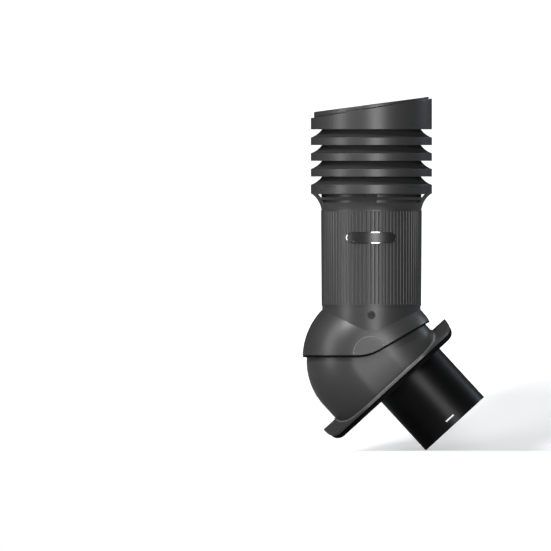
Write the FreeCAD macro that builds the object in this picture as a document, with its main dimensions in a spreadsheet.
"""Adjustable roof vent: louvred cap, fluted stack, ball hood, dome with saddle flange, duct spigot.

Two local frames share the pivot, which is the centre of the ball hood. The stack frame is upright,
with X pointing down the roof. The slope frame is the stack frame turned about Y by the roof pitch,
so that its X runs down the roof and its Z stands square to it. The part's origin is where the axis
of the duct spigot crosses the plane on which the flange seal rests.
"""
import FreeCAD, Part
import math
import os
import Sketcher

V = FreeCAD.Vector
doc = FreeCAD.newDocument("roof_vent")
sheet = doc.addObject("Spreadsheet::Sheet", "Dims")

DIMENSIONS = [
    ("roof_pitch", 42.5, "roof pitch at which the vent is set"),
    ("joint_gap", 0.3, "clearance between pieces that turn on each other"),
    ("seat_gap", 0.1, "clearance between round pieces that seat in each other"),
    ("duct_r", 75.0, "outside radius of the duct spigot and of the inner pipe"),
    ("duct_wall", 3.0, "wall of the duct spigot"),
    ("spigot_u", -32.0, "spigot axis, along the slope from the pivot"),
    ("spigot_end", 199.5, "open end of the spigot, below the pivot"),
    ("spigot_top", 48.0, "upper end of the spigot, inside the dome"),
    ("spigot_seat", 1.0, "stand-out of the spigot's seat in the dome floor"),
    ("spigot_seat_length", 6.0, "reach of that seat under the dome floor"),
    ("spigot_bead", 4.0, "stand-out of the bead that rests on the dome floor"),
    ("spigot_bead_height", 3.0, "height of that bead"),
    ("slot_length", 19.5, "latch slot in the spigot"),
    ("slot_height", 2.6, "latch slot in the spigot"),
    ("slot_inset", 14.6, "latch slot centre, from the open end"),
    ("hood_crown_r", 130.5, "hood radius about the pivot axis, in the middle"),
    ("hood_crown_bend_r", 90.0, "profile arc of the hood over the crown"),
    ("hood_flank_bend_r", 108.0, "profile arc of the hood down its flanks"),
    ("hood_join_angle", 43.0, "angle at which the two profile arcs meet"),
    ("hood_half_width", 95.3, "flat cheeks of the hood, from the middle"),
    ("hood_wall", 3.0, "wall of the hood and neck"),
    ("hood_skirt_z", 0.5, "level lower edge of the hood"),
    ("hood_rise_angle", 30.3, "rise of the lower edge towards the ridge"),
    ("hood_bend_x", 4.3, "where the level and rising edges would meet"),
    ("hood_bend_r", 88.0, "round between the level and rising edges"),
    ("hood_step", 1.5, "depth of the step along the hood's lower edge"),
    ("hood_step_height", 4.2, "height of that step"),
    ("neck_step", 2.3, "neck of the hood, in from the top of the fluted shell"),
    ("neck_top_z", 98.0, "shoulder on which the fluted shell stands"),
    ("neck_spigot", 22.0, "length of the neck inside the fluted shell"),
    ("floor_thick", 3.0, "inner ring plates that carry the inner pipe"),
    ("dome_gap", 4.5, "air gap between the hood and the dome"),
    ("dome_wall", 3.0, "wall of the dome"),
    ("dome_u", 4.5, "dome centre, along the slope from the pivot"),
    ("dome_w", -5.3, "dome centre, square to the slope from the pivot"),
    ("dome_floor_w", -66.0, "underside of the dome floor"),
    ("mouth_angle", 104.0, "direction of the dome mouth, from the down-slope axis"),
    ("mouth_reach", 85.0, "plane of the dome mouth, from the dome centre"),
    ("guide_r", 30.0, "round guides on the dome cheeks, on which the hood turns"),
    ("guide_reach", 17.0, "flat of a guide, from the pivot"),
    ("guide_angle", 106.5, "middle of a guide, from the down-slope axis"),
    ("guide_rail", 5.0, "width of the hood rail that rides on a guide"),
    ("ridge_w", -39.2, "crest of the saddle flange"),
    ("hump_slope", 26.0, "slope of the saddle beside its crest"),
    ("hump_half", 15.0, "half width of the straight slopes beside the crest"),
    ("wing_w", -62.0, "flat wings of the saddle flange"),
    ("flange_u", 3.6, "middle of the flange, along the slope"),
    ("flange_half_length", 155.3, "flange, along the slope"),
    ("flange_half_width", 132.0, "flange, across the slope"),
    ("flange_end_r", 160.0, "plan radius of the flange ends"),
    ("flange_corner_r", 62.0, "plan radius of the flange corners"),
    ("flange_sheet", 3.5, "wall of the flange"),
    ("flange_rim", 4.0, "depth of the flange rim"),
    ("flange_rim_width", 4.0, "wall of the flange rim"),
    ("seal_inset", 2.5, "seal, in from the flange edge"),
    ("seal_width", 9.5, "width of the seal"),
    ("seal_thick", 8.6, "thickness of the seal"),
    ("hole_inset", 22.0, "screw holes, in from the flange edge"),
    ("hole_spread", 20.0, "screw holes beside the crest, from the crest line"),
    ("boss_r", 8.5, "boss under each screw hole"),
    ("recess_r", 6.5, "recess for each screw head"),
    ("recess_depth", 3.0, "recess for each screw head"),
    ("hole_r", 2.6, "screw holes in the flange"),
    ("lock_z", 80.3, "lock screws of the neck"),
    ("lock_recess_r", 8.0, "recess of a lock screw"),
    ("lock_recess_depth", 5.0, "recess of a lock screw"),
    ("lock_head_r", 6.0, "head of a lock screw"),
    ("lock_head", 3.0, "head of a lock screw"),
    ("lock_socket_r", 2.8, "driver socket in a lock screw"),
    ("lock_shank_r", 3.0, "shank of a lock screw"),
    ("lock_boss_r", 11.0, "boss behind a lock screw"),
    ("lock_boss_depth", 13.0, "boss behind a lock screw"),
    ("shell_top_r", 95.5, "fluted shell, upper end"),
    ("shell_taper", 1.0, "how much narrower the fluted shell is at its lower end"),
    ("shell_wall", 3.7, "wall of the fluted shell"),
    ("shell_top_z", 279.0, "fluted shell, upper end"),
    ("flute_foot_z", 100.8, "flutes, lower end"),
    ("flute_top_z", 277.5, "flutes, upper end"),
    ("flute_r", 2.6, "radius of a flute"),
    ("flute_depth", 1.9, "depth of a flute at the upper end"),
    ("flute_step", 4.38, "angle from flute to flute"),
    ("flute_count", 33, "flutes on each side"),
    ("inner_wall", 2.5, "wall of the inner pipe"),
    ("inner_top_z", 335.0, "upper end of the inner pipe"),
    ("collar_wall_step", 0.9, "back wall of the drain collar, in from the fluted shell"),
    ("collar_lip_r", 113.3, "flare of the drain collar, upper end"),
    ("collar_bend_r", 45.3, "profile arc of the drain collar"),
    ("collar_lip_wall", 4.9, "flare of the drain collar, width of its top edge"),
    ("collar_wall", 3.0, "flare of the drain collar, wall"),
    ("collar_hollow_rise", 12.0, "hollow in the flare, its foot above the collar's foot"),
    ("collar_top_z", 310.3, "top of the drain collar"),
    ("drain_height", 5.5, "height of a drain slot"),
    ("drain_low_z", 293.2, "lower row of drain slots"),
    ("drain_high_z", 303.8, "upper row of drain slots"),
    ("drain_side_angle", 6.0, "half angle of the arms at the sides"),
    ("drain_end_angle", 20.0, "half angle of the arms up and down the slope"),
    ("cap_r", 114.7, "outside radius of the cap rings"),
    ("cap_wall", 2.5, "wall of the cap rings"),
    ("cap_lip_r", 101.0, "inside of the lower lip of a cap ring"),
    ("ring_pitch", 29.8, "height from ring to ring"),
    ("base_band", 17.2, "band height of the lowest ring"),
    ("ring_band", 14.5, "band height of a louvre ring"),
    ("flare_r", 88.0, "upper lip of a louvre flare"),
    ("flare_rise", 26.0, "height of a louvre flare"),
    ("flare_bend_r", 44.0, "profile arc of a louvre flare"),
    ("post_offset", 6.0, "circle on which the cap posts stand, out from the inner pipe"),
    ("post_r", 6.0, "cap post"),
    ("rod_r", 2.5, "tie rod in a cap post"),
    ("rod_nut_r", 4.5, "nut at the foot of a tie rod"),
    ("rod_nut", 4.0, "nut at the foot of a tie rod"),
    ("notch_angle", 17.0, "width of a latch recess in the lowest ring"),
    ("notch_height", 3.2, "height of a latch recess"),
    ("notch_inset", 2.5, "latch recess, below the band edge"),
    ("notch_depth", 1.5, "depth of a latch recess"),
    ("skirt_mid_z", 472.4, "slanted top edge of the skirt, on the axis"),
    ("skirt_slant", 9.2, "slant of the skirt's top edge"),
    ("lid_r", 108.8, "radius of the lid"),
    ("lid_mid_z", 479.8, "top of the lid, on the axis"),
    ("lid_slant", 7.58, "slant of the lid's top"),
    ("lid_wall", 3.0, "wall of the lid and of the plate under it"),
    ("lid_round", 2.0, "round of the lid edge"),
    ("badge_z", 227.3, "badge, middle"),
    ("badge_height", 21.3, "badge"),
    ("badge_half_length", 48.2, "badge, half of its straight length"),
    ("badge_thick", 2.0, "badge"),
    ("far", 400.0, "reach of cutting shapes past the part"),
]


class Size:
    """A number together with the formula that the sheet works it out from."""

    def __init__(self, value, formula):
        self.value = float(value)
        self.formula = formula

    def __add__(self, other):
        other = as_size(other)
        return Size(self.value + other.value, "(%s + %s)" % (self.formula, other.formula))

    def __sub__(self, other):
        other = as_size(other)
        return Size(self.value - other.value, "(%s - %s)" % (self.formula, other.formula))

    def __mul__(self, other):
        other = as_size(other)
        return Size(self.value * other.value, "(%s * %s)" % (self.formula, other.formula))

    def __truediv__(self, other):
        other = as_size(other)
        return Size(self.value / other.value, "(%s / %s)" % (self.formula, other.formula))

    def __neg__(self):
        return as_size(0) - self

    def __radd__(self, other):
        return as_size(other) + self

    def __rsub__(self, other):
        return as_size(other) - self

    def __rmul__(self, other):
        return as_size(other) * self


def as_size(number):
    return number if isinstance(number, Size) else Size(number, "(%r)" % float(number))


def sin(angle):
    angle = as_size(angle)
    return Size(math.sin(math.radians(angle.value)), "sin(%s)" % angle.formula)


def cos(angle):
    angle = as_size(angle)
    return Size(math.cos(math.radians(angle.value)), "cos(%s)" % angle.formula)


def tan(angle):
    angle = as_size(angle)
    return Size(math.tan(math.radians(angle.value)), "tan(%s)" % angle.formula)


def root(number):
    return Size(math.sqrt(number.value), "sqrt(%s)" % number.formula)


class Named:
    """The sheet's sizes, by name."""


d = Named()
for row, (alias, value, note) in enumerate(DIMENSIONS, start=1):
    sheet.set("A%d" % row, alias)
    sheet.set("B%d" % row, str(value))
    sheet.set("C%d" % row, note)
    sheet.setAlias("B%d" % row, alias)
    setattr(d, alias, Size(value, "Dims." + alias))
doc.recompute()

# Radii that follow the fluted shell or the inner pipe.
neck_r = d.shell_top_r - d.neck_step
shell_bore_r = d.shell_top_r - d.shell_wall
post_ring_r = d.duct_r + d.post_offset

# Where the pivot lies in the part's frame: the seal plane and the spigot axis meet at the origin.
seal_w = d.wing_w - d.flange_rim - d.seal_thick
PIVOT_X = -(d.spigot_u * cos(d.roof_pitch) + seal_w * sin(d.roof_pitch))
PIVOT_Z = d.spigot_u * sin(d.roof_pitch) - seal_w * cos(d.roof_pitch)


def bind(obj, prop, size):
    obj.setExpression(prop, as_size(size).formula)


def place(obj, frame, x=0, y=0, z=0, turn=None):
    """Puts an object at x, y, z of the stack frame or the slope frame, turned about its own Z."""
    x, y, z = as_size(x), as_size(y), as_size(z)
    pitch = d.roof_pitch if frame == "slope" else as_size(0)
    turn = as_size(0 if turn is None else turn)
    tilt = FreeCAD.Rotation(V(0, 1, 0), pitch.value)
    spin = FreeCAD.Rotation(V(0, 0, 1), turn.value)
    obj.Placement = FreeCAD.Placement(V(0, 0, 0), tilt.multiply(spin))
    bind(obj, "Placement.Base.x", PIVOT_X + x * cos(pitch) + z * sin(pitch))
    bind(obj, "Placement.Base.y", y)
    bind(obj, "Placement.Base.z", PIVOT_Z - x * sin(pitch) + z * cos(pitch))
    if frame == "slope" and turn.value == 0:
        bind(obj, "Placement.Rotation.Angle", d.roof_pitch)


def body(name, frame="stack", x=0, z=0):
    made = doc.addObject("PartDesign::Body", name)
    made.Label = name
    place(made, frame, x=x, z=z)
    return made


def sketch_on(owner, name, role, offset=0):
    made = owner.newObject("Sketcher::SketchObject", name)
    plane = [item for item in owner.Origin.OriginFeatures if item.Role == role][0]
    made.AttachmentSupport = [(plane, "")]
    made.MapMode = "FlatFace"
    bind(made, "AttachmentOffset.Base.z", offset)
    return made


def circle(sketch, x, y, radius):
    x, y, radius = as_size(x), as_size(y), as_size(radius)
    shape = Part.Circle(V(x.value, y.value, 0), V(0, 0, 1), radius.value)
    geo = sketch.addGeometry(shape, False)
    pin_point(sketch, geo, 3, x, y)
    fix(sketch, Sketcher.Constraint("Radius", geo, radius.value), radius)


def fix(sketch, constraint, size):
    index = sketch.addConstraint(constraint)
    sketch.setExpression("Constraints[%d]" % index, size.formula)


def pin_point(sketch, geo, point, x, y):
    fix(sketch, Sketcher.Constraint("DistanceX", -1, 1, geo, point, x.value), x)
    fix(sketch, Sketcher.Constraint("DistanceY", -1, 1, geo, point, y.value), y)


def outline(sketch, corners, arcs=None):
    """A closed outline through the corners. arcs gives, for the edge that leaves a corner, its
    radius; the centre of each arc lies on the left of the way round, or right if it is negative."""
    arcs = arcs or {}
    corners = [(as_size(x), as_size(y)) for x, y in corners]
    count = len(corners)
    starts = []
    ends = []
    for index in range(count):
        (ax, ay), (bx, by) = corners[index], corners[(index + 1) % count]
        a, b = V(ax.value, ay.value, 0), V(bx.value, by.value, 0)
        if index not in arcs:
            geo = sketch.addGeometry(Part.LineSegment(a, b), False)
            starts.append((geo, 1))
            ends.append((geo, 2))
            continue
        radius, side = arcs[index]
        radius = as_size(radius)
        across = V(a.y - b.y, b.x - a.x, 0).normalize()
        rise = math.sqrt(radius.value ** 2 - ((b - a).Length / 2) ** 2)
        centre = (a + b) * 0.5 + across * (side * rise)
        first, last = (a, b) if side > 0 else (b, a)
        ring = Part.Circle(centre, V(0, 0, 1), radius.value)
        begin = math.atan2(first.y - centre.y, first.x - centre.x)
        stop = math.atan2(last.y - centre.y, last.x - centre.x)
        geo = sketch.addGeometry(Part.ArcOfCircle(ring, begin, stop), False)
        starts.append((geo, 1 if side > 0 else 2))
        ends.append((geo, 2 if side > 0 else 1))
        fix(sketch, Sketcher.Constraint("Radius", geo, radius.value), radius)
    for index in range(count):
        after = (index + 1) % count
        sketch.addConstraint(Sketcher.Constraint("Coincident", *ends[index], *starts[after]))
        pin_point(sketch, *starts[index], *corners[index])


def revolve(owner, name, corners, arcs=None, role="XZ_Plane"):
    sketch = sketch_on(owner, name + "_sketch", role)
    outline(sketch, corners, arcs)
    made = owner.newObject("PartDesign::Revolution", name)
    made.Profile = sketch
    made.ReferenceAxis = (sketch, ["V_Axis"])
    made.Angle = 360
    owner.Tip = made
    return made


def pad(owner, sketch, name, length, down=False, both=False):
    made = owner.newObject("PartDesign::Pad", name)
    made.Profile = sketch
    bind(made, "Length", length)
    made.Reversed = down
    made.Midplane = both
    owner.Tip = made
    return made


def pocket(owner, sketch, name, length, up=False, both=False):
    made = owner.newObject("PartDesign::Pocket", name)
    made.Profile = sketch
    bind(made, "Length", length)
    made.Reversed = up
    made.Midplane = both
    owner.Tip = made
    return made


def cylinder(name, frame, radius, height, x=0, y=0, z=0):
    """An upright cylinder of its frame."""
    made = doc.addObject("Part::Cylinder", name)
    bind(made, "Radius", radius)
    bind(made, "Height", height)
    place(made, frame, x, y, z)
    return made


def cross_cylinder(name, radius, start, length, x=0, z=0):
    """A cylinder along Y of the stack frame, from start to start + length on both sides."""
    halves = []
    for side, sign in (("left", 1), ("right", -1)):
        made = doc.addObject("Part::Cylinder", "%s_%s" % (name, side))
        bind(made, "Radius", radius)
        bind(made, "Height", length)
        place(made, "stack", x, as_size(start) * sign, z)
        made.Placement.Rotation = FreeCAD.Rotation(V(1, 0, 0), -90 * sign)
        halves.append(made)
    return fuse(name, halves)


def slope_half(name, angle, reach, u=0, w=0, beyond=True):
    """The half of space beyond, or short of, a plane square to a direction of the slope frame."""
    made = doc.addObject("Part::Box", name)
    bind(made, "Length", d.far)
    bind(made, "Width", d.far)
    bind(made, "Height", d.far)
    start = reach if beyond else reach - d.far
    lean = 90 - angle
    x = u + start * cos(angle) - d.far / 2 * cos(lean)
    z = w + start * sin(angle) + d.far / 2 * sin(lean)
    place(made, "slope", x, -(d.far / 2), z)
    turn = d.roof_pitch + lean
    made.Placement.Rotation = FreeCAD.Rotation(V(0, 1, 0), turn.value)
    bind(made, "Placement.Rotation.Angle", turn)
    return made


def fuse(name, shapes):
    made = doc.addObject("Part::MultiFuse", name)
    made.Shapes = shapes
    return made


def cut(name, base, tools):
    tool = tools[0] if len(tools) == 1 else fuse(name + "_tools", tools)
    made = doc.addObject("Part::Cut", name)
    made.Base = base
    made.Tool = tool
    return made


def group(name, shapes):
    made = doc.addObject("Part::Compound", name)
    made.Links = shapes
    return made


nodes = []


def node(obj, name):
    obj.Label = name
    nodes.append(obj)
    return obj


def cheek_y(depth):
    """Half width between the flat cheeks of the barrel form, offset inwards by a depth."""
    return d.hood_half_width - depth


# The barrel form that the hood and the dome share: a profile of two arcs turned about the pivot
# axis, closed by flat cheeks. depth offsets it inwards from the outside of the hood.
def barrel_points(depth):
    crown = d.hood_crown_bend_r - depth
    flank = d.hood_flank_bend_r - depth
    lean = d.hood_flank_bend_r - d.hood_crown_bend_r
    crown_x = d.hood_crown_r - d.hood_crown_bend_r
    join = (crown_x + crown * cos(d.hood_join_angle), crown * sin(d.hood_join_angle))
    flank_x = crown_x - lean * cos(d.hood_join_angle)
    flank_y = -(lean * sin(d.hood_join_angle))
    reach = cheek_y(depth) - flank_y
    cheek_x = flank_x + root(flank * flank - reach * reach)
    return join, (cheek_x, cheek_y(depth)), crown, flank


def barrel_ball(owner, name, depth):
    join, cheek, crown, flank = barrel_points(as_size(depth))
    corners = [(0, -cheek[1]), (cheek[0], -cheek[1]), (join[0], -join[1]), join, cheek, (0, cheek[1])]
    revolve(owner, name, corners, {1: (flank, 1), 2: (crown, 1), 3: (flank, 1)}, "XY_Plane")


def barrel_skirt(owner, name, depth, length):
    join, cheek, crown, flank = barrel_points(as_size(depth))
    corners = [
        (cheek[0], -cheek[1]), (join[0], -join[1]), join, cheek,
        (-cheek[0], cheek[1]), (-join[0], join[1]), (-join[0], -join[1]), (-cheek[0], -cheek[1]),
    ]
    arcs = {0: (flank, 1), 1: (crown, 1), 2: (flank, 1), 4: (flank, 1), 5: (crown, 1), 6: (flank, 1)}
    sketch = sketch_on(owner, name + "_sketch", "XY_Plane")
    outline(sketch, corners, arcs)
    pad(owner, sketch, name, length, down=True)
    below = sketch_on(owner, name + "_below_sketch", "XY_Plane", -as_size(length))
    circle(below, 0, 0, d.hood_crown_r)
    pocket(owner, below, name + "_below", d.far)


# The saddle flange: an arched section along the slope, trimmed to a rounded plan.
hump_edge_w = d.ridge_w - d.hump_half * tan(d.hump_slope)
hump_run = (hump_edge_w - d.wing_w) / tan(d.hump_slope / 2)
wing_y = d.hump_half + hump_run
hump_arc = hump_run / sin(d.hump_slope)


def saddle_height(y):
    """Height of the saddle's top at a distance y from its crest line."""
    y = as_size(y)
    if y.value <= d.hump_half.value:
        return d.ridge_w - y * tan(d.hump_slope)
    if y.value >= wing_y.value:
        return d.wing_w
    run = wing_y - y
    return d.wing_w + hump_arc - root(hump_arc * hump_arc - run * run)


def plan_corners(inset):
    """The rounded plan: long end arcs, tighter corner arcs and straight sides."""
    end = d.flange_end_r - inset
    corner = d.flange_corner_r - inset
    half_width = d.flange_half_width - inset
    end_u = d.flange_end_r - d.flange_half_length
    corner_y = d.flange_half_width - d.flange_corner_r
    span = d.flange_end_r - d.flange_corner_r
    corner_u = root(span * span - corner_y * corner_y) - end_u
    meet_u = corner_u + corner * (corner_u + end_u) / span
    meet_y = corner_y + corner * corner_y / span
    u = d.flange_u
    corners = [
        (u + meet_u, -meet_y), (u + meet_u, meet_y), (u + corner_u, half_width), (u - corner_u, half_width),
        (u - meet_u, meet_y), (u - meet_u, -meet_y), (u - corner_u, -half_width), (u + corner_u, -half_width),
    ]
    arcs = {0: (end, 1), 1: (corner, 1), 3: (corner, 1), 4: (end, 1), 5: (corner, 1), 7: (corner, 1)}
    return corners, arcs


def saddle_slab(name, inset, top, bottom):
    """The part of the saddle between two depths under its top, inside the plan less an inset."""
    made = body(name, "slope")
    section = sketch_on(made, name + "_section", "YZ_Plane")
    far = d.far / 2
    upper = [(-far, d.wing_w), (-wing_y, d.wing_w), (-d.hump_half, hump_edge_w), (0, d.ridge_w),
             (d.hump_half, hump_edge_w), (wing_y, d.wing_w), (far, d.wing_w)]
    corners = [(y, w - bottom) for y, w in upper] + [(y, w - top) for y, w in reversed(upper)]
    arcs = {1: (hump_arc, 1), 4: (hump_arc, 1), 8: (hump_arc, -1), 11: (hump_arc, -1)}
    outline(section, corners, arcs)
    pad(made, section, name + "_bar", d.far, both=True)
    trim = sketch_on(made, name + "_plan", "XY_Plane")
    outline(trim, [(-d.far, -d.far), (d.far, -d.far), (d.far, d.far), (-d.far, d.far)])
    outline(trim, *plan_corners(as_size(inset)))
    pocket(made, trim, name + "_trim", d.far, both=True)
    return made


def make_flange():
    """The flange sheet with its rim, and the recessed screw holes along it."""
    spots = []
    side_y = d.flange_half_width - d.hole_inset
    corner_y = d.flange_half_width - d.flange_corner_r
    reach = d.flange_end_r - d.hole_inset
    end_u = d.flange_half_length - d.flange_end_r
    corner_u = end_u + root(reach * reach - corner_y * corner_y)
    end_hole_u = end_u + root(reach * reach - d.hole_spread * d.hole_spread)
    for side, sign in (("left", 1), ("right", -1)):
        spots.append((d.flange_u + end_hole_u, d.hole_spread * sign, side + "_low_end"))
        spots.append((d.flange_u - end_hole_u, d.hole_spread * sign, side + "_high_end"))
        spots.append((d.flange_u + corner_u, corner_y * sign, side + "_low_corner"))
        spots.append((d.flange_u - corner_u, corner_y * sign, side + "_high_corner"))
        spots.append((d.flange_u + d.flange_corner_r * 0.75, side_y * sign, side + "_low_side"))
        spots.append((d.flange_u - d.flange_corner_r * 0.75, side_y * sign, side + "_high_side"))
    bosses = []
    recesses = []
    for u, y, name in spots:
        top = saddle_height(abs_size(y))
        floor = top - d.recess_depth
        bosses.append(cylinder("boss_" + name, "slope", d.boss_r, d.far / 4, u, y, top - d.far / 8))
        recesses.append(cylinder("hole_" + name, "slope", d.hole_r, d.far / 8, u, y, floor - d.far / 16))
        if "end" not in name:
            recesses.append(cylinder("recess_" + name, "slope", d.recess_r, d.far / 8, u, y, floor))
    outer = saddle_slab("flange_outer", 0, 0, d.flange_rim)
    inner = saddle_slab("flange_inner", d.flange_rim_width, d.flange_sheet, d.flange_rim + 1)
    hollow = cut("flange_hollow", inner, bosses)
    return cut("flange_shell", outer, [hollow] + recesses)


def abs_size(size):
    return size if size.value >= 0 else -size


def make_base_dome():
    """Flange and dome, moulded in one piece, with a floor around the spigot and two cheek guides."""
    skirt = d.dome_w - d.dome_floor_w
    shell_depth = d.hood_wall + d.dome_gap
    outer = body("dome_outer", "slope", d.dome_u, d.dome_w)
    barrel_ball(outer, "dome_outer_ball", shell_depth)
    barrel_skirt(outer, "dome_outer_skirt", shell_depth, skirt)
    inner = body("dome_inner", "slope", d.dome_u, d.dome_w)
    barrel_ball(inner, "dome_inner_ball", shell_depth + d.dome_wall)
    barrel_skirt(inner, "dome_inner_skirt", shell_depth + d.dome_wall, skirt - d.dome_wall)
    mouth = slope_half("dome_mouth", d.mouth_angle, d.mouth_reach, d.dome_u, d.dome_w)
    drop = d.dome_floor_w - d.dome_wall
    passage_r = d.duct_r + d.spigot_seat + d.seat_gap
    passage = cylinder("spigot_passage", "slope", passage_r, d.far / 8, d.spigot_u, 0, drop)
    inside = cheek_y(shell_depth) - d.dome_wall / 2
    height = d.dome_gap - d.joint_gap + d.dome_wall / 2
    rounds = cross_cylinder("guide_rounds", d.guide_r, inside, height)
    spare = slope_half("guide_spare", d.guide_angle, d.guide_reach, beyond=False)
    guides = cut("guides", rounds, [spare])
    shell = fuse("base_shell", [make_flange(), outer])
    hollowed = cut("base_hollowed", shell, [inner, mouth, passage])
    node(fuse("base_dome_shape", [hollowed, guides]), "base_dome")


def make_flange_seal():
    """Soft strip under the flange rim, following the saddle."""
    top = d.flange_rim
    bottom = d.flange_rim + d.seal_thick
    outer = saddle_slab("seal_outer", d.seal_inset, top, bottom)
    inner = saddle_slab("seal_inner", d.seal_inset + d.seal_width, top - 1, bottom + 1)
    node(cut("flange_seal_shape", outer, [inner]), "flange_seal")


def make_spigot_pipe():
    """Open tube for the duct: a seat and a bead hold it in the dome floor; four latch slots."""
    made = body("spigot_blank", "slope", d.spigot_u)
    bore = d.duct_r - d.duct_wall
    floor_top = d.dome_floor_w + d.dome_wall
    bead_top = floor_top + d.spigot_bead_height
    bead_r = d.duct_r + d.spigot_bead
    seat_r = d.duct_r + d.spigot_seat
    seat_low = d.dome_floor_w - d.spigot_seat_length
    corners = [(bore, -d.spigot_end), (d.duct_r, -d.spigot_end), (d.duct_r, seat_low),
               (seat_r, seat_low), (seat_r, floor_top), (bead_r, floor_top),
               (bead_r, bead_top), (d.duct_r, bead_top),
               (d.duct_r, -d.spigot_top), (bore, -d.spigot_top)]
    revolve(made, "spigot_tube", corners)
    slots = []
    for name, length, width in (("cross", d.far / 2, d.slot_length), ("along", d.slot_length, d.far / 2)):
        slot = doc.addObject("Part::Box", "spigot_slot_" + name)
        bind(slot, "Length", length)
        bind(slot, "Width", width)
        bind(slot, "Height", d.slot_height)
        low = d.slot_inset - d.spigot_end - d.slot_height / 2
        place(slot, "slope", d.spigot_u - length / 2, -(width / 2), low)
        slots.append(slot)
    node(cut("spigot_pipe_shape", made, slots), "spigot_pipe")


def below_hood(name, lift=0):
    """All that lies under the hood's lower edge: level down the slope, rising up the slope."""
    owner = body(name, z=lift)
    half_turn = d.hood_bend_r * tan(d.hood_rise_angle / 2)
    rise = tan(d.hood_rise_angle)
    far_z = d.hood_skirt_z + (d.far / 2 + d.hood_bend_x) * rise
    rise_x = d.hood_bend_x - half_turn * cos(d.hood_rise_angle)
    rise_z = d.hood_skirt_z + half_turn * sin(d.hood_rise_angle)
    corners = [(-(d.far / 2), -d.far), (d.far / 2, -d.far), (d.far / 2, d.hood_skirt_z),
               (d.hood_bend_x + half_turn, d.hood_skirt_z), (rise_x, rise_z), (-(d.far / 2), far_z)]
    sketch = sketch_on(owner, name + "_edge", "XZ_Plane")
    outline(sketch, corners, {3: (d.hood_bend_r, -1)})
    pad(owner, sketch, name + "_pad", d.far, both=True)
    return owner


def make_hood():
    """Ball hood with its neck: it turns over the dome and carries the stack."""
    outer = body("hood_outer")
    barrel_ball(outer, "hood_outer_ball", 0)
    neck = sketch_on(outer, "neck_sketch", "XY_Plane")
    circle(neck, 0, 0, neck_r)
    pad(outer, neck, "neck", d.neck_top_z)
    spigot = sketch_on(outer, "neck_spigot_sketch", "XY_Plane")
    spigot_r = shell_bore_r - d.seat_gap
    circle(spigot, 0, 0, spigot_r)
    pad(outer, spigot, "neck_spigot", d.neck_top_z + d.neck_spigot)
    inner = body("hood_inner")
    barrel_ball(inner, "hood_inner_ball", d.hood_wall)
    bore = sketch_on(inner, "neck_bore_sketch", "XY_Plane")
    circle(bore, 0, 0, spigot_r - d.hood_wall)
    pad(inner, bore, "neck_bore", d.hood_crown_r + 1)
    shell = cut("hood_shell", outer, [inner])
    plate = body("hood_plate")
    ring = sketch_on(plate, "hood_plate_sketch", "XY_Plane", d.neck_top_z + d.floor_thick)
    circle(ring, 0, 0, spigot_r - d.hood_wall / 2)
    circle(ring, 0, 0, d.duct_r + d.seat_gap)
    pad(plate, ring, "hood_plate_pad", d.floor_thick)
    guide_bore = d.guide_r + d.joint_gap
    rail_y = cheek_y(d.hood_wall) - d.dome_gap + d.joint_gap * 3
    rail_height = d.dome_gap + d.hood_wall / 2 - d.joint_gap * 3
    rails = cross_cylinder("rails", guide_bore + d.guide_rail, rail_y, rail_height)
    bores = cross_cylinder("rail_bores", guide_bore, 0, cheek_y(d.hood_wall))
    boss_start = neck_r - d.lock_boss_depth
    bosses = cross_cylinder("lock_bosses", d.lock_boss_r, boss_start, d.lock_boss_depth - 1, z=d.lock_z)
    floor_y = neck_r - d.lock_recess_depth
    recess = cross_cylinder("lock_recesses", d.lock_recess_r, floor_y, d.far / 8, z=d.lock_z)
    pilot = cross_cylinder("lock_pilots", d.lock_shank_r + d.seat_gap, 0, neck_r, z=d.lock_z)
    whole = fuse("hood_whole", [shell, plate, rails, bosses])
    core = body("hood_step_core")
    barrel_ball(core, "hood_step_ball", d.hood_step)
    step = cut("hood_edge_step", below_hood("above_edge", d.hood_step_height), [core])
    node(cut("hood_shape", whole, [below_hood("below_edge"), step, bores, recess, pilot]), "hood")


def make_lock_screws():
    """Two screws that clamp the hood at the chosen pitch."""
    floor_y = neck_r - d.lock_recess_depth
    heads = cross_cylinder("lock_heads", d.lock_head_r, floor_y, d.lock_head, z=d.lock_z)
    shank = d.lock_boss_depth - d.lock_recess_depth + 1
    shanks = cross_cylinder("lock_shanks", d.lock_shank_r, floor_y - shank, shank + 1, z=d.lock_z)
    socket_y = floor_y + d.lock_head / 3
    sockets = cross_cylinder("lock_sockets", d.lock_socket_r, socket_y, d.far / 8, z=d.lock_z)
    whole = fuse("lock_whole", [heads, shanks])
    node(cut("lock_screws_shape", whole, [sockets]), "lock_screws")


def make_fluted_shell():
    """Outer tube of the stack, with flutes down its two sides and plain panels between them."""
    made = body("fluted_shell")
    corners = [(shell_bore_r, d.neck_top_z), (d.shell_top_r - d.shell_taper, d.neck_top_z),
               (d.shell_top_r, d.shell_top_z), (shell_bore_r, d.shell_top_z)]
    revolve(made, "shell_tube", corners)
    axis = [item for item in made.Origin.OriginFeatures if item.Role == "Z_Axis"][0]
    span = d.flute_step * (d.flute_count - 1)
    centre_r = d.shell_top_r - d.flute_depth + d.flute_r
    for side, middle in (("left", 90), ("right", 270)):
        start = middle - span / 2
        sketch = sketch_on(made, "flute_sketch_" + side, "XY_Plane", d.flute_foot_z)
        circle(sketch, centre_r * cos(start), centre_r * sin(start), d.flute_r)
        groove = pocket(made, sketch, "flute_" + side, d.flute_top_z - d.flute_foot_z, up=True)
        doc.recompute()
        pattern = made.newObject("PartDesign::PolarPattern", "flutes_" + side)
        pattern.Originals = [groove]
        pattern.Axis = (axis, [""])
        bind(pattern, "Angle", span)
        bind(pattern, "Occurrences", d.flute_count)
        made.Tip = pattern
    node(made, "fluted_shell")


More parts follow.
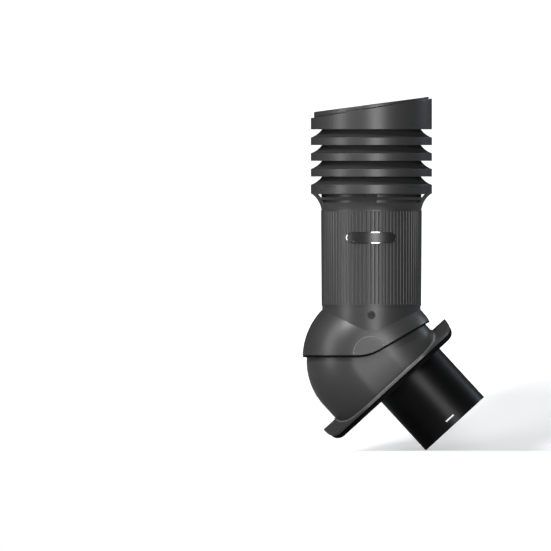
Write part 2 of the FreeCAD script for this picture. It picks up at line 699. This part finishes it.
def make_inner_pipe():
    """Air pipe inside the stack, standing on the hood's ring plate by a bead."""
    made = body("inner_pipe")
    seat = d.neck_top_z + d.floor_thick * 2
    bore = d.duct_r - d.inner_wall
    foot = d.neck_top_z + d.floor_thick
    corners = [(bore, foot), (d.duct_r, foot), (d.duct_r, seat), (d.duct_r + d.spigot_bead, seat),
               (d.duct_r + d.spigot_bead, seat + d.spigot_bead_height),
               (d.duct_r, seat + d.spigot_bead_height), (d.duct_r, d.inner_top_z), (bore, d.inner_top_z)]
    revolve(made, "inner_tube", corners)
    node(made, "inner_pipe")


def make_drain_collar():
    """Flared collar under the cap, with two rows of drain slots between four arms."""
    made = body("collar_blank")
    foot_z = d.shell_top_z
    plate_z = foot_z + d.floor_thick
    bore = shell_bore_r
    wall_r = d.shell_top_r - d.collar_wall_step
    corners = [(d.duct_r + d.seat_gap, foot_z), (wall_r, foot_z),
               (d.collar_lip_r, d.collar_top_z), (bore, d.collar_top_z), (bore, plate_z),
               (d.duct_r + d.seat_gap, plate_z)]
    revolve(made, "collar_flare", corners, {1: (d.collar_bend_r, -1)})
    hollow = body("collar_hollow")
    hollow_lip = d.collar_lip_r - d.collar_lip_wall
    corners = [(wall_r, foot_z + d.collar_hollow_rise), (hollow_lip, d.collar_top_z),
               (hollow_lip, d.collar_top_z + 1), (wall_r, d.collar_top_z + 1)]
    revolve(hollow, "collar_hollow_ring", corners, {0: (d.collar_bend_r + d.collar_wall, -1)})
    sectors = []
    open_angle = 90 - d.drain_side_angle - d.drain_end_angle
    starts = (d.drain_end_angle, 90 + d.drain_side_angle, 180 + d.drain_end_angle, 270 + d.drain_side_angle)
    for row, low in (("low", d.drain_low_z), ("high", d.drain_high_z)):
        for index, start in enumerate(starts):
            sector = doc.addObject("Part::Cylinder", "drain_%s_%d" % (row, index))
            bind(sector, "Radius", d.cap_r)
            bind(sector, "Height", d.drain_height)
            bind(sector, "Angle", open_angle)
            place(sector, "stack", z=low)
            sector.Placement.Rotation = FreeCAD.Rotation(V(0, 0, 1), as_size(start).value)
            bind(sector, "Placement.Rotation.Angle", start)
            sectors.append(sector)
    core = cylinder("drain_core", "stack", wall_r, d.collar_top_z - foot_z, z=foot_z)
    slots = cut("drain_slots", fuse("drain_sectors", sectors), [core])
    node(cut("drain_collar_shape", made, [slots, hollow]), "drain_collar")


def flare_profile(low, band, lip):
    """Section of a cap ring: a lip, an upright band, and a flare that sweeps up and inwards."""
    top = low + band
    over = d.flare_bend_r + d.cap_wall
    edge = d.cap_r - d.cap_wall
    corners = [(lip, low), (d.cap_r, low), (d.cap_r, top), (d.flare_r, top + d.flare_rise),
               (d.flare_r - d.cap_wall, top + d.flare_rise - d.cap_wall / 3),
               (edge, top - d.cap_wall * 0.72), (edge, low + d.cap_wall), (lip, low + d.cap_wall)]
    return corners, {2: (d.flare_bend_r, -1), 4: (over, 1)}


def post_spots():
    return [(post_ring_r * cos(45 + 90 * index), post_ring_r * sin(45 + 90 * index)) for index in range(4)]


def posts(name, low, height, radius):
    made = []
    for index, (x, y) in enumerate(post_spots()):
        made.append(cylinder("%s_%d" % (name, index), "stack", radius, height, x, y, low))
    return made


def ring_low_z(level):
    """Underside of a cap ring, counted up from the lowest one."""
    first = d.collar_top_z + d.base_band + d.ring_pitch - d.ring_band
    return d.collar_top_z if level == 0 else first + d.ring_pitch * (level - 1)


def flare_top_z(level):
    band = d.base_band if level == 0 else d.ring_band
    return ring_low_z(level) + band + d.flare_rise


def make_cap_base_ring():
    """Lowest ring of the cap, closed underneath, with four latch recesses."""
    made = body("cap_base_blank")
    low = ring_low_z(0)
    lip = d.duct_r + d.spigot_bead
    corners, arcs = flare_profile(low, d.base_band, lip)
    revolve(made, "cap_base_flare", corners, arcs)
    plinths = posts("base_post", low + d.cap_wall / 2, flare_top_z(0) - low - d.cap_wall / 2, d.post_r)
    whole = fuse("cap_base_whole", [made] + plinths)
    recesses = []
    recess_low = low + d.base_band - d.notch_inset - d.notch_height
    for index in range(4):
        recess = doc.addObject("Part::Cylinder", "latch_%d" % index)
        bind(recess, "Radius", d.cap_r + 5)
        bind(recess, "Height", d.notch_height)
        bind(recess, "Angle", d.notch_angle)
        place(recess, "stack", z=recess_low)
        start = 45 + 90 * index - d.notch_angle / 2
        recess.Placement.Rotation = FreeCAD.Rotation(V(0, 0, 1), start.value)
        bind(recess, "Placement.Rotation.Angle", start)
        recesses.append(recess)
    core = cylinder("latch_core", "stack", d.cap_r - d.notch_depth, d.notch_height, z=recess_low)
    cutters = cut("latch_cutters", fuse("latch_sectors", recesses), [core])
    holes = posts("base_rod_hole", low - 1, d.far / 4, d.rod_r + d.seat_gap)
    node(cut("cap_base_ring_shape", whole, [cutters] + holes), "cap_base_ring")


def make_louvre_ring(level):
    """A louvre ring of the cap, standing on the ring below by four posts."""
    name = "louvre_ring_%d" % level
    made = body(name + "_blank")
    corners, arcs = flare_profile(ring_low_z(level), d.ring_band, d.cap_lip_r)
    revolve(made, name + "_flare", corners, arcs)
    foot = flare_top_z(level - 1)
    legs = posts(name + "_post", foot, flare_top_z(level) - foot, d.post_r)
    holes = posts(name + "_hole", foot - 1, d.far / 4, d.rod_r + d.seat_gap)
    node(cut(name + "_shape", fuse(name + "_whole", [made] + legs), holes), name)


def slanted_slab(name, mid_z, slant):
    """Everything above a plane that crosses the axis at mid_z and rises towards the ridge."""
    made = body(name)
    sketch = sketch_on(made, name + "_sketch", "XZ_Plane")
    half = d.far / 2
    drop = half * tan(slant)
    corners = [(-half, mid_z + drop), (half, mid_z - drop), (half, mid_z + half), (-half, mid_z + half)]
    outline(sketch, corners)
    pad(made, sketch, name + "_pad", d.far, both=True)
    return made


def make_cap_top_ring():
    """Skirt of the cap with its slanted top plate, hung on the posts."""
    low = ring_low_z(4)
    high = d.skirt_mid_z + d.cap_r * tan(d.skirt_slant) + 10 - low
    drum = cylinder("skirt_drum", "stack", d.cap_r, high, z=low)
    upper = slanted_slab("skirt_above", d.skirt_mid_z, d.skirt_slant)
    outer = cut("skirt_outer", drum, [upper])
    bore = cylinder("skirt_bore", "stack", d.cap_r - d.cap_wall, high, z=low + d.cap_wall)
    plate = slanted_slab("skirt_plate", d.skirt_mid_z - d.lid_wall, d.skirt_slant)
    inner = cut("skirt_inner", bore, [plate])
    mouth = cylinder("skirt_mouth", "stack", d.cap_lip_r, d.cap_wall * 2, z=low - d.cap_wall / 2)
    shell = cut("skirt_shell", outer, [inner, mouth])
    foot = flare_top_z(3)
    legs = posts("top_post", foot, d.skirt_mid_z + d.cap_r - foot, d.post_r)
    above = slanted_slab("post_above", d.skirt_mid_z - d.lid_wall / 2, d.skirt_slant)
    trimmed = cut("top_posts", fuse("top_post_set", legs), [above])
    holes = posts("top_rod_hole", foot - 1, d.far / 20, d.rod_r + d.seat_gap)
    node(cut("cap_top_ring_shape", fuse("cap_top_whole", [shell, trimmed]), holes), "cap_top_ring")


def make_cap_lid():
    """Slanted lid, set in from the skirt's edge, that sheds rain down the slope."""
    low = d.skirt_mid_z - d.lid_r * tan(d.skirt_slant) - 5
    drum = cylinder("lid_drum", "stack", d.lid_r, d.far / 4, z=low)
    floor = body("lid_floor")
    sketch = sketch_on(floor, "lid_floor_sketch", "XZ_Plane")
    half = d.far / 2
    drop = half * tan(d.skirt_slant)
    mid = d.skirt_mid_z
    outline(sketch, [(-half, mid - half), (half, mid - half), (half, mid - drop), (-half, mid + drop)])
    pad(floor, sketch, "lid_floor_pad", d.far, both=True)
    above = slanted_slab("lid_above", d.lid_mid_z, d.lid_slant)
    outer = cut("lid_outer", drum, [floor, above])
    bore = cylinder("lid_bore", "stack", d.lid_r - d.lid_wall, d.far / 4, z=low)
    ceiling = slanted_slab("lid_ceiling", d.lid_mid_z - d.lid_wall, d.lid_slant)
    node(cut("cap_lid_shape", outer, [cut("lid_inner", bore, [ceiling])]), "cap_lid")


def make_tie_rods():
    """Four rods that clamp the rings of the cap together through their posts."""
    low = ring_low_z(0)
    top = flare_top_z(3) + d.far / 20 - 3
    rods = posts("rod", low - d.rod_nut, top - low + d.rod_nut, d.rod_r)
    nuts = posts("rod_nut", low - d.rod_nut, d.rod_nut, d.rod_nut_r)
    made = [fuse("tie_rod_%d" % index, [rods[index], nuts[index]]) for index in range(4)]
    node(group("tie_rods_shape", made), "tie_rods")


def make_badges():
    """A blank raised plate on each side of the stack."""
    inner_r = d.shell_top_r + d.seat_gap
    end_r = d.badge_height / 2
    flat = d.badge_half_length - end_r
    for side, sign in (("left", 1), ("right", -1)):
        blank = body("badge_blank_" + side)
        sketch = sketch_on(blank, "badge_sketch_" + side, "XZ_Plane")
        low, high = d.badge_z - end_r, d.badge_z + end_r
        corners = [(-flat, low), (flat, low), (flat + end_r * 0.6, low + end_r * 0.4),
                   (flat + end_r, d.badge_z), (flat + end_r * 0.6, high - end_r * 0.4),
                   (flat, high), (-flat, high), (-flat - end_r * 0.6, high - end_r * 0.4),
                   (-flat - end_r, d.badge_z), (-flat - end_r * 0.6, low + end_r * 0.4)]
        outline(sketch, corners)
        made = pad(blank, sketch, "badge_pad_" + side, d.shell_top_r + d.badge_thick + 10)
        made.Reversed = sign > 0
        height = d.badge_height + 10
        disc = cylinder("badge_disc_" + side, "stack", inner_r + d.badge_thick, height, z=low - 5)
        core = cylinder("badge_core_" + side, "stack", inner_r, height, z=low - 5)
        ring = cut("badge_ring_" + side, disc, [core])
        plate = doc.addObject("Part::Common", "badge_shape_" + side)
        plate.Base = ring
        plate.Tool = blank
        node(plate, "badge_" + side)


make_base_dome()
make_flange_seal()
make_spigot_pipe()
make_hood()
make_lock_screws()
make_fluted_shell()
make_inner_pipe()
make_drain_collar()
make_cap_base_ring()
for ring_level in (1, 2, 3):
    make_louvre_ring(ring_level)
make_cap_top_ring()
make_cap_lid()
make_tie_rods()
make_badges()
doc.recompute()

for item in doc.Objects:
    if "Invalid" in item.State or "Error" in item.State:
        raise RuntimeError("%s is %s" % (item.Label, item.State))
for item in nodes:
    if item.Shape.isNull() or not item.Shape.isValid() or not item.Shape.Solids:
        raise RuntimeError("%s has no sound shape" % item.Label)

os.makedirs("parts", exist_ok=True)
for item in nodes:
    item.Shape.exportStep("parts/%s.step" % item.Label)
    print(item.Label, "solids", len(item.Shape.Solids), "volume", round(item.Shape.Volume))
